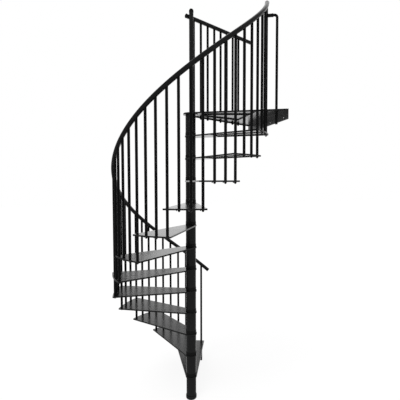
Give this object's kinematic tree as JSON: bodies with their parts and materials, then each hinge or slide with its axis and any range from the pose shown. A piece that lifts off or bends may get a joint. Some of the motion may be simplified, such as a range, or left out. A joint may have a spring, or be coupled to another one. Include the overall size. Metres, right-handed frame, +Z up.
{
  "type": "spiral staircase",
  "caption": "Steel spiral staircase: wedge treads round a central pole, slim balusters, a helical handrail and a wedge landing with its own straight rail.",
  "frame": {"origin": "centre of the foot's flat face, on the pole's axis, at floor level", "axes": "+Z up along the pole; +X is the outward normal of the plate that fixes the landing to the upper floor; the stair climbs counter-clockwise seen from above"},
  "size_m": [1.6767, 1.59, 4.0757],
  "materials": {
    "powder_coat": "satin",
    "rail_cover": "satin",
    "trim_plastic": "matte"
  },
  "bodies": {
    "root": {"base_sleeve": "powder_coat", "centre_pole": "powder_coat", "column_foot": "powder_coat", "column_sleeves": "powder_coat", "end_baluster": "powder_coat", "end_connector": "trim_plastic", "first_baluster": "powder_coat", "helix_balusters_1": "powder_coat", "helix_balusters_2": "powder_coat", "helix_balusters_3": "powder_coat", "helix_balusters_4": "powder_coat", "helix_rail": "rail_cover", "helix_rail_cap_high": "trim_plastic", "helix_rail_cap_low": "trim_plastic", "landing_balusters": "powder_coat", "landing_fixing_plate": "powder_coat", "landing_plate": "powder_coat", "landing_post": "powder_coat", "landing_rail": "rail_cover", "landing_rail_caps": "trim_plastic", "landing_ribs": "powder_coat", "post_cap": "trim_plastic", "rail_bracket": "powder_coat", "sleeve_collars": "trim_plastic", "tread_01": "powder_coat", "tread_02": "powder_coat", "tread_03": "powder_coat", "tread_04": "powder_coat", "tread_05": "powder_coat", "tread_06": "powder_coat", "tread_07": "powder_coat", "tread_08": "powder_coat", "tread_09": "powder_coat", "tread_10": "powder_coat", "tread_11": "powder_coat", "tread_12": "powder_coat"}
  },
  "joints": []
}
